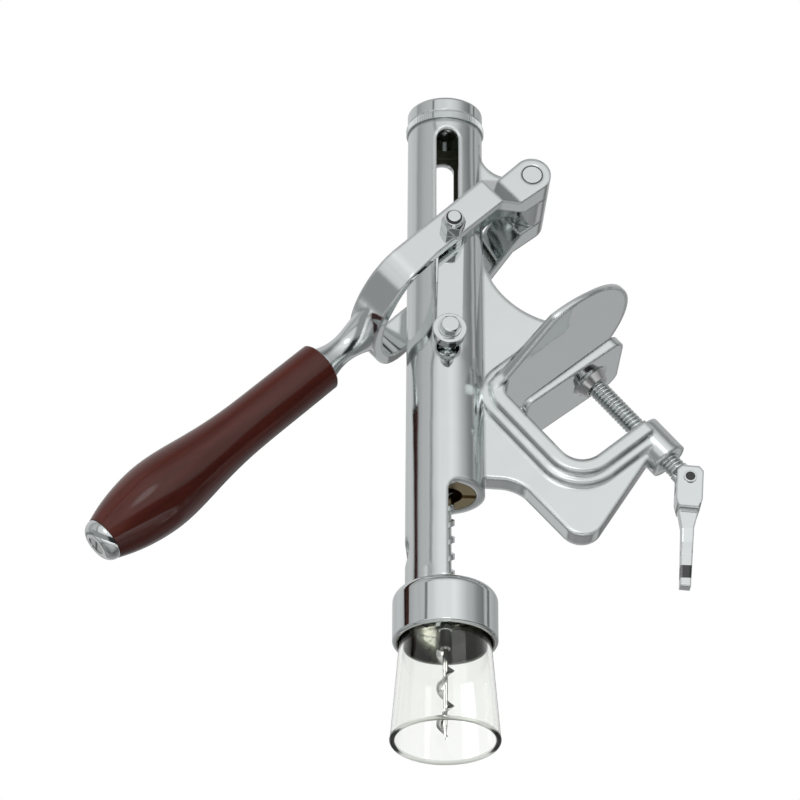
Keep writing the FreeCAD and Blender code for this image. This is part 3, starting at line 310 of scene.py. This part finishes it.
# ---------------------------------------------------------------- clamp screw
# A rolled metric thread runs the length of the clamp screw, and the boss in the frame's arm takes it.
# The core is the CAD screw drawn in to the thread's root, with one helical ridge wound round it.
def altered_mesh(name, alter):
    """A copy of a CAD piece's mesh, merged by distance, whose form the given function then changes."""
    mesh = nodes[name].data.copy()
    form = bmesh.new()
    form.from_mesh(mesh)
    bmesh.ops.remove_doubles(form, verts=form.verts, dist=1e-6)
    alter(form)
    form.to_mesh(mesh)
    form.free()
    return mesh


thread_crest, thread_root, pitch = 0.0048, 0.0038, 0.0019
thread_foot, thread_top = -0.0812, -0.0216
shaft_end, shoulder = -0.084, thread_top + 0.0005
crest_slack, seat_rise = 0.0002, 0.0001


def draw_in_shaft(form):
    """Draws the threaded stretch of the shaft in from the thread's crest to its root."""
    for vertex in form.verts:
        reach = math.hypot(vertex.co.x, vertex.co.y)
        if abs(reach - thread_crest) < crest_slack and shaft_end <= vertex.co.z <= shoulder:
            vertex.co.x *= thread_root / reach
            vertex.co.y *= thread_root / reach


core = fitted("clamp_screw_core", altered_mesh("clamp_screw", draw_in_shaft), "screw")
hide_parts("clamp_screw")
thread = Pattern("clamp_screw_thread")
ridge_seat = thread.size("Ridge Seat Radius", thread_root + seat_rise)
helix = thread.node("GeometryNodeCurveSpiral", None, {
    "Resolution": thread.size("Steps in a Turn", 28),
    "Rotations": thread.size("Turns", (thread_top - thread_foot) / pitch),
    "Start Radius": ridge_seat, "End Radius": ridge_seat,
    "Height": thread.size("Threaded Length", thread_top - thread_foot)})
ridge = thread.node("GeometryNodeCurvePrimitiveCircle", None, {
    "Resolution": thread.size("Ridge Corners", 8), "Radius": thread.size("Ridge Radius", 0.00088)})
wound = thread.node("GeometryNodeCurveToMesh", None, {
    "Curve": helix, "Profile Curve": ridge, "Fill Caps": True})
smooth = thread.node("GeometryNodeSetShadeSmooth", None, {"Geometry": wound})
thread_place = Matrix.Translation((0, 0, thread_foot))
fitted("clamp_screw_thread", thread.mesh(smooth, bright_plating, thread_place), "screw")


# ---------------------------------------------------------------- folding handle
# A plated handle, pressed wavy and scooped out near its end, folds on a rivet through the screw's tongue.
# The rivet is plated round its heads, and its middle is left black.
pressed_length, pressed_depth = 0.06, 0.0062


def pressed_plating(name):
    """Plating whose relief follows the handle's length, from its loose end up to the shoulder."""
    finish = Finish(name)
    foot = measured("clamp_handle", barrel)[0].z
    along = finish.node("ShaderNodeMapRange", None, {
        "Value": finish.height(finish.spot_in(barrel)), "From Min": foot, "From Max": foot + pressed_length})
    profile = finish.ramp(
        along, (0.07, 0.00), (0.18, 0.60), (0.28, 0.62), (0.31, 0.72), (0.38, 0.70), (0.50, 0.85),
        (0.66, 0.86), (0.70, 1.00))
    return finish.set(
        Base_Color=chrome_colour(), Metallic=1.0, Roughness=0.08,
        Normal=finish.bump(profile, 1.0, pressed_depth, 0.0015))


coat(pressed_plating("pressed_handle"), "clamp_handle")
rivet_drop, rivet_radius, rivet_margin = 0.0888, 0.0022, 0.0001
rivet = Matrix.Translation((0, 0, -rivet_drop)) @ Matrix.Rotation(math.radians(90), 4, "X")
coat(cored_plating("blackened_rivet", rivet, rivet_radius + rivet_margin, (0.02, 0.02, 0.02), shine=0.0,
                   dullness=0.3, edge=0.0004, ripple=0.0), "handle_rivet")


# ---------------------------------------------------------------- worm
# The auger is a twisted steel blade, bright like the rest, that screws into the spindle's foot; painted
# shade darkens it towards its outline.
# It can be screwed home at any angle; here it stands over a third of a turn further round than in the CAD.
def steel_with_painted_outline_shade(name, face, painted_shade_colour):
    """Bright steel with painted shade, darkening it towards its outline."""
    finish = Finish(name)
    glancing = finish.node("ShaderNodeLayerWeight", None, {"Blend": 0.4}, output="Facing")
    return finish.set(Base_Color=finish.blend(glancing, face, painted_shade_colour), Metallic=1.0, Roughness=0.12)


home_turn = barrel @ Matrix.Rotation(math.radians(134), 4, "Z") @ barrel.inverted()
# The auger's steel darkens at its outline: painted shade.
coat(steel_with_painted_outline_shade("auger_steel_with_painted_shade", face=(0.62, 0.62, 0.60), painted_shade_colour=(0.05, 0.05, 0.05)), "worm")
turned_blade = altered_mesh("worm", lambda form: form.transform(home_turn))
auger = fitted("worm_turned", turned_blade, "spindle")
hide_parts("worm")


# ---------------------------------------------------------------- locking rings
# Each lock nut holds a black nylon ring round its bolt, and round each end of the hinge pin a thin black
# ring is painted shade for its narrow clearance.
# Both are thin turned rings, seated flush on the faces that carry them.
def moulded_rubber(name):
    finish = Finish(name)
    fine = finish.noise(600.0)
    return finish.set(
        Base_Color=(0.03, 0.03, 0.03), Roughness=fine * 0.2 + 0.5, Normal=finish.bump(fine, 0.2, 0.0001))


def turned_ring(inner, outer, rise, place, material, steps=48):
    """The mesh of a flat ring about the Z axis of its place."""
    form = bmesh.new()
    rings = []
    for radius, height in ((inner, 0.0), (inner, rise), (outer, rise), (outer, 0.0)):
        points = [(radius * math.cos(turn), radius * math.sin(turn), height)
                  for turn in (math.tau * step / steps for step in range(steps))]
        rings.append([form.verts.new(place @ Vector(point)) for point in points])
    for low, high in zip(rings, rings[1:] + rings[:1]):
        for step in range(steps):
            follower = (step + 1) % steps
            form.faces.new((low[step], low[follower], high[follower], high[step]))
    bmesh.ops.recalc_face_normals(form, faces=form.faces)
    mesh = bpy.data.meshes.new("turned_ring")
    form.to_mesh(mesh)
    form.free()
    mesh.materials.append(material)
    return mesh


def outer_face(name, way):
    """The middle of the outermost face of a pair of pieces, on the side that way points to."""
    low, high = measured(name)
    return Matrix.Translation(((low.x + high.x) / 2, way * high.y, (low.z + high.z) / 2)) @ Matrix.Rotation(
        math.radians(-90 * way), 4, "X")


# The black nylon finish serves the lock nuts' real rings and also the painted shade round the hinge pin.
nylon_and_gap_shade = moulded_rubber("black_nylon")
for way, side in ((-1, "front"), (1, "rear")):
    lock_ring = turned_ring(0.0030, 0.0038, 0.00025, outer_face("link_lock_nuts", way), nylon_and_gap_shade)
    fitted("lock_ring_" + side, lock_ring, "lever")
    # This black ring round the hinge pin is painted shade for the clearance about the pin.
    pin_gap_shade_ring = turned_ring(0.00462, 0.00505, 0.00006, outer_face("hinge_pin", way), nylon_and_gap_shade)
    fitted("pin_gap_shade_ring_" + side, pin_gap_shade_ring, "lever")


# ---------------------------------------------------------------- grip
# A turned hardwood handle in dark red-brown lacquer, round about the tie rod that runs through it.
# The grain runs along the grip and shows through a deep, glossy clear coat.
def lacquered_wood(name):
    finish = Finish(name)
    along = finish.node("ShaderNodeMapping", None, {
        "Vector": finish.spot(), "Rotation": (0, math.radians(-4), 0), "Scale": (0.08, 1.0, 1.0)})
    grain = finish.noise(240.0, 5.0, 0.6, along)
    cloud = finish.noise(28.0, 3.0, 0.5, along)
    colour = finish.ramp(
        grain * 0.45 + cloud * 0.55, (0.30, (0.020, 0.0030, 0.0016)), (0.50, (0.038, 0.0050, 0.0024)),
        (0.70, (0.060, 0.0090, 0.0045)))
    return finish.set(
        Base_Color=colour, Roughness=grain * 0.1 + 0.36, Specular_IOR_Level=0.10, Coat_Weight=0.7,
        Coat_Roughness=0.10, Normal=finish.bump(grain, 0.08, 0.00015))


coat(lacquered_wood("red_brown_lacquer"), "grip")


# ---------------------------------------------------------------- bell
# A blown glass bell with a dull, beaded mouth stands in a plated collar, and painted shade darkens the
# plating inside its skirt.
# A rubber seal lies above the glass, and a clear plastic sleeve fills the collar round the bell's neck.
def clear_glass(name, lip=-1.0):
    """Clear glass, darkened by painted shade where it is seen edge on, and duller below the height of its
    lip.
    """
    finish = Finish(name)
    rim = finish.height(finish.spot_in(barrel)) < lip
    glancing = finish.node("ShaderNodeLayerWeight", None, {"Blend": 0.5}, output="Facing")
    # Where the glass is seen edge on, its colour darkens: painted shade.
    painted_edge_shade = finish.node("ShaderNodeMath", {"operation": "POWER"}, {0: glancing, 1: 7.0})
    colour = finish.blend(painted_edge_shade, (0.94, 0.95, 0.93), (0.30, 0.32, 0.29))
    dulled = finish.blend(rim, colour, (0.52, 0.54, 0.50), "MULTIPLY")
    return finish.set(Base_Color=dulled, Roughness=rim * 0.3, Transmission_Weight=1.0, IOR=1.30)


mouth_height = 0.0016
coat(clear_glass("bell_glass", lip=measured("glass_bell", barrel)[0].z + mouth_height), "glass_bell")
coat(clear_glass("clear_sleeve"), "bell_sleeve")
coat(moulded_rubber("black_rubber"), "bell_seal")
# Below a bright roof, the plating inside the collar's skirt takes a dark colour: painted shade that dims its
# reflections.
collar_bore, collar_margin, bright_roof = 0.0220, 0.0006, 0.003
painted_shade_ceiling = measured("bell_collar", barrel)[1].z - bright_roof
coat(cored_plating("plated_collar_with_painted_inner_shade", barrel, collar_bore + collar_margin, (0.25, 0.25, 0.21), shine=1.0,
                   dullness=0.14, edge=0.0005, ripple=0.0001, ceiling=painted_shade_ceiling), "bell_collar")


# ---------------------------------------------------------------- bush and nut
# The bush that steadies the spindle and the drive nut above it are turned from bronze, to fit the bore.
# Both keep the brown sheen of bronze that runs in oil.
def bearing_bronze(name):
    finish = Finish(name)
    fine = finish.noise(500.0)
    return finish.set(Base_Color=(0.42, 0.34, 0.20), Metallic=1.0, Roughness=fine * 0.15 + 0.25)


coat(bearing_bronze("bearing_bronze"), "guide_bush", "drive_nut")


# ---------------------------------------------------------------- camera
# A long lens looks at the barrel's side from well below its foot, some 29 degrees off square.
# The lens is held in the barrel's frame, so the barrel stands upright in the picture.
rise, swing, roll = math.radians(29.3), math.radians(3.6), math.radians(0.27)
sight = Vector((math.sin(swing) * math.cos(rise), math.cos(swing) * math.cos(rise), math.sin(rise)))
level_right = Vector((math.cos(swing), -math.sin(swing), 0))
level_up = level_right.cross(sight)
right = math.cos(roll) * level_right + math.sin(roll) * level_up
up = math.cos(roll) * level_up - math.sin(roll) * level_right
# Lengths on the image are in pixels, and a pixel spans this much at the distance of the barrel's foot.
pixel_span = 0.0004625
image_width, focal_length, foot_right, foot_below = 800.0, 4500.0, 45.2, 96.0
eye = -pixel_span * (sight * focal_length + right * foot_right - up * foot_below)
facing = Matrix((right, up, -sight)).transposed().to_4x4()
lens = bpy.data.cameras.new("catalogue_camera")
lens.sensor_width = 36.0
lens.lens = lens.sensor_width * focal_length / image_width
lens.clip_start, lens.clip_end = 0.05, 50.0
camera = bpy.data.objects.new("catalogue_camera", lens)
camera.matrix_world = barrel @ Matrix.Translation(eye) @ facing
bpy.context.scene.collection.objects.link(camera)
bpy.context.scene.camera = camera


# ---------------------------------------------------------------- light tent
# A round tent of pale cloth, which only reflections show, hangs about the object in the camera's frame.
# The room behind the lens is dark, and a narrow dark flag to either side draws a line down what is round.
# In the cloth's directions: a bright ledge runs below the dark room, and one lamp hangs above it.
ledge_height, ledge_half_width, lamp_way = -0.425, 0.016, (0.0, 0.60, 0.79)


def tent_cloth():
    """The cloth's glow by direction: X is right, Y is up and Z is towards the lens."""
    finish = Finish("tent_cloth")
    across, upwards, lensward = finish.node(
        "ShaderNodeSeparateXYZ", None, {"Vector": finish.spot()}, output=None)

    def eased(value, start, end, low=0.0, high=1.0):
        return finish.node("ShaderNodeMapRange", {"interpolation_type": "SMOOTHSTEP"}, {
            "Value": value, "From Min": start, "From Max": end, "To Min": low, "To Max": high})

    bearing = finish.node("ShaderNodeMath", {"operation": "ARCTAN2"}, {0: across, 1: lensward})
    around = finish.ramp(
        bearing * (0.5 / math.pi) + 0.5, (0.00, 0.62), (0.17, 0.62), (0.19, 0.40), (0.24, 0.50),
        (0.322, 0.60), (0.330, 0.20), (0.340, 0.20), (0.350, 0.72), (0.42, 0.80), (0.50, 0.92),
        (0.58, 0.95), (0.66, 0.72), (0.71, 0.50), (0.75, 0.30), (0.785, 0.20), (0.80, 0.50),
        (0.815, 0.50), (0.822, 0.15), (0.830, 0.15), (0.838, 0.55), (0.90, 0.45), (1.00, 0.62))
    upright = finish.ramp(
        upwards * 0.5 + 0.5, (0.00, 0.35), (0.14, 0.62), (0.18, 0.40), (0.22, 1.00), (0.315, 0.95),
        (0.345, 0.40), (0.40, 0.40), (0.44, 0.85), (0.60, 1.0), (0.90, 1.0), (0.95, 0.90), (1.00, 0.45))
    ahead = eased(lensward, -0.25, 0.15)
    room = ahead * eased(upwards, -0.41, -0.38) * eased(upwards, 0.26, 0.12)
    dusk = eased(across, -0.10, 0.35, 0.34, 0.03)
    ledge = finish.node("ShaderNodeMath", {"operation": "COMPARE"}, {
        0: upwards, 1: ledge_height, 2: ledge_half_width}) * ahead
    lamp_distance = finish.node("ShaderNodeVectorMath", {"operation": "DISTANCE"}, {
        0: finish.spot(), 1: lamp_way}, output="Value")
    lamp = eased(lamp_distance, 0.20, 0.10, high=2.0)
    folds = finish.noise(2.2, 2.0) * 0.5 + 0.78
    cloth = finish.node("ShaderNodeVectorMath", {"operation": "MULTIPLY"}, {0: around, 1: upright})
    lit = finish.node("ShaderNodeVectorMath", {"operation": "SCALE"}, {
        0: cloth, "Scale": folds + lamp + ledge * 1.2})
    return finish.set(
        Base_Color=(0, 0, 0), Specular_IOR_Level=0.0, Emission_Color=finish.blend(room, lit, dusk),
        Emission_Strength=1.0)


tent_radius = 4.0
bpy.ops.mesh.primitive_uv_sphere_add(segments=64, ring_count=32, radius=1.0)
tent = bpy.context.object
tent.name = "light_tent"
tent.matrix_world = barrel @ facing @ Matrix.Diagonal((tent_radius, tent_radius, tent_radius, 1))
tent.data.materials.append(tent_cloth())
for ray in ("camera", "diffuse", "transmission", "volume_scatter", "shadow"):
    setattr(tent, "visible_" + ray, False)


# ---------------------------------------------------------------- studio
# A pale floor lies far below, and three soft lamps hang round the object in a plain white surround.
# The surround is white to the lens and through the glass, and dim to everything that it lights.
floor_half, floor_height = 4.0, -0.9
floor_mesh = bpy.data.meshes.new("floor")
floor_mesh.from_pydata([(x * floor_half, y * floor_half, floor_height)
                        for x, y in ((-1, -1), (1, -1), (1, 1), (-1, 1))], [], [(0, 1, 2, 3)])
floor = bpy.data.objects.new("floor", floor_mesh)
bpy.context.scene.collection.objects.link(floor)
floor.visible_glossy = False
floor_mesh.materials.append(Finish("pale_floor").set(Base_Color=(0.82, 0.82, 0.82), Roughness=0.7))


def soft_lamp(name, place, width, height, power):
    """A soft rectangular lamp, aimed at the object."""
    light = bpy.data.lights.new(name, "AREA")
    light.shape, light.size, light.size_y, light.energy = "RECTANGLE", width, height, power
    made = bpy.data.objects.new(name, light)
    made.location = place
    made.rotation_euler = (-Vector(place)).to_track_quat("-Z", "Y").to_euler()
    made.visible_glossy = False
    bpy.context.scene.collection.objects.link(made)


soft_lamp("key", (-1.2, -1.0, 1.3), 1.2, 1.2, 40)
soft_lamp("fill", (1.3, -1.4, 0.2), 0.9, 1.6, 14)
soft_lamp("under", (-0.2, -1.2, -0.85), 1.6, 0.8, 8)

dim, white = 0.45, 1.0
surround = bpy.data.worlds.new("surround")
bpy.context.scene.world = surround
surround.use_nodes = True
sky = Graph(surround.node_tree)
seen = sky.node("ShaderNodeMath", {"operation": "MAXIMUM"}, {
    0: sky.node("ShaderNodeLightPath", output="Is Camera Ray"),
    1: sky.node("ShaderNodeLightPath", output="Is Transmission Ray")})
background = surround.node_tree.nodes["Background"]
sky.feed(background.inputs["Color"], (1, 1, 1))
sky.feed(background.inputs["Strength"], seen * (white - dim) + dim)

bpy.context.scene.view_settings.view_transform = "Standard"
